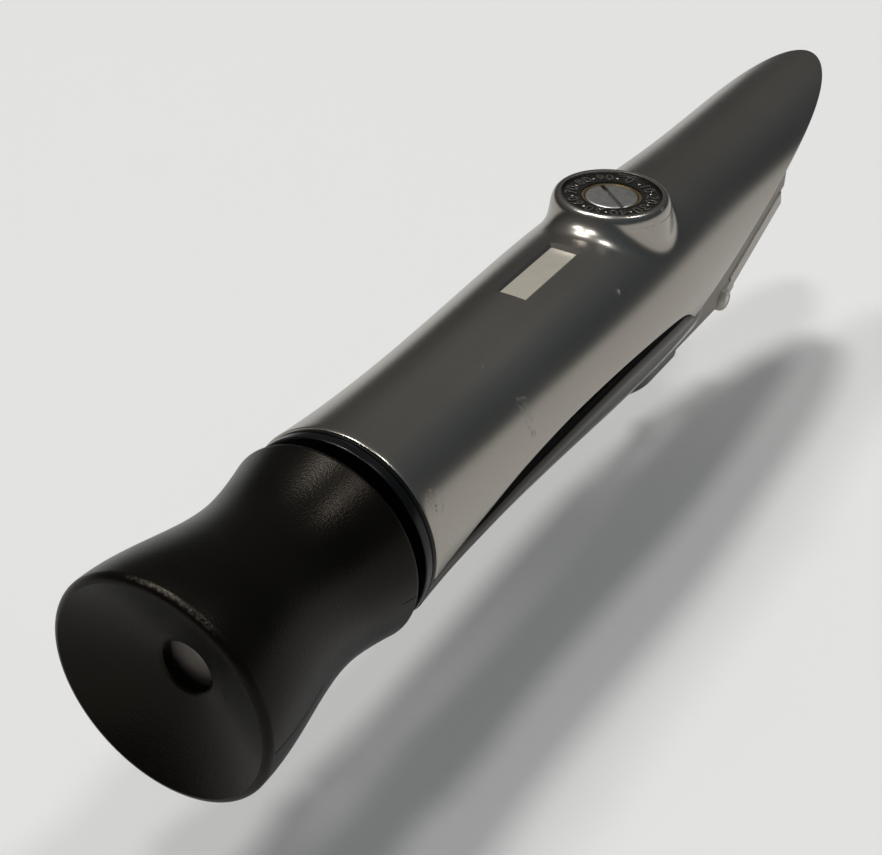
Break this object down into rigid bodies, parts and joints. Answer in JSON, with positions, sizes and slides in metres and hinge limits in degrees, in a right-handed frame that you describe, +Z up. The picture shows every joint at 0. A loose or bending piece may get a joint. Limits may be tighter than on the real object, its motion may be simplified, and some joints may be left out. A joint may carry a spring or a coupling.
{
  "type": "handheld refractometer",
  "caption": "Handheld prism refractometer with a turning rubber eyecup, an adjusting screw on a round boss, a hooded nose and a hinged daylight plate over the prism.",
  "frame": {"origin": "under the middle of the instrument, at the level of the eyecup's lowest point", "axes": "+Y along the optical axis from the eyecup to the nose, +Z up through the adjusting boss, +X to the right of someone looking into the eyepiece"},
  "size_m": [0.032, 0.203, 0.034],
  "materials": {
    "housing_metal": "satin",
    "prism_block_metal": "satin",
    "eyecup_rubber": "matte",
    "cover_plastic": "gloss",
    "black_anodised": "satin",
    "baffle_black": "matte",
    "chassis_metal": "satin",
    "brass": "satin",
    "screw_steel": "satin",
    "spring_steel": "satin",
    "optical_glass": "polished",
    "prism_glass": "polished",
    "seal_rubber": "matte",
    "badge_enamel": "gloss",
    "plate_enamel": "satin",
    "lid_acrylic": "satin"
  },
  "bodies": {
    "housing": {"upper_housing": "housing_metal", "lower_cover": "cover_plastic", "prism_housing": "prism_block_metal", "focus_barrel": "black_anodised", "key_screw": "screw_steel", "focus_oring": "seal_rubber", "reticle": "optical_glass", "reticle_ring": "black_anodised", "baffle_tube": "baffle_black", "lens_chassis": "chassis_metal", "guide_pins": "screw_steel", "boss_screws": "screw_steel", "cover_screws": "screw_steel", "prism_housing_screws": "screw_steel", "screw_bush": "brass", "badge_ring": "badge_enamel", "number_plate": "plate_enamel", "prism": "prism_glass", "prism_gasket": "seal_rubber", "prism_clamp": "screw_steel", "clamp_screws": "screw_steel", "hinge_pin": "screw_steel"},
    "daylight_plate": {"daylight_plate": "lid_acrylic"},
    "adjuster": {"adjusting_screw": "screw_steel", "screw_oring": "seal_rubber", "screw_clip": "spring_steel"},
    "carriage": {"lens_carrier": "brass", "objective_lens": "optical_glass", "objective_ring": "black_anodised"},
    "ocular": {"ocular_tube": "black_anodised", "eye_lens": "optical_glass", "lens_spacer": "black_anodised", "field_lens": "optical_glass", "ocular_retainer": "black_anodised", "ocular_clip": "spring_steel"},
    "eyecup": {"eyecup": "eyecup_rubber", "focus_ring": "black_anodised"}
  },
  "joints": [
    {"name": "daylight_hinge", "type": "hinge", "parent": "housing", "child": "daylight_plate", "pos_m": [0, 0.0437, 0.0031], "axis": [-1, 0, 0], "range_deg": [0, 120]},
    {"name": "adjuster_turn", "type": "hinge", "parent": "housing", "child": "adjuster", "pos_m": [0, 0.0127, 0.031], "axis": [0, 0, 1], "range_deg": [-577, 577]},
    {"name": "objective_slide", "type": "slide", "parent": "housing", "child": "carriage", "axis": [0, 0, 1], "range_m": [-0.0008, 0.0008]},
    {"name": "ocular_slide", "type": "slide", "parent": "housing", "child": "ocular", "axis": [0, -1, 0], "range_m": [-0.002, 0.003]},
    {"name": "eyecup_turn", "type": "hinge", "parent": "ocular", "child": "eyecup", "pos_m": [0, -0.085, 0.016], "axis": [0, -1, 0], "range_deg": [-120, 180]}
  ],
  "couplings": [
    {"joint": "adjuster_turn", "follows": "objective_slide", "rad_per_m": -12566},
    {"joint": "ocular_slide", "follows": "eyecup_turn", "m_per_rad": 0.0009549}
  ]
}
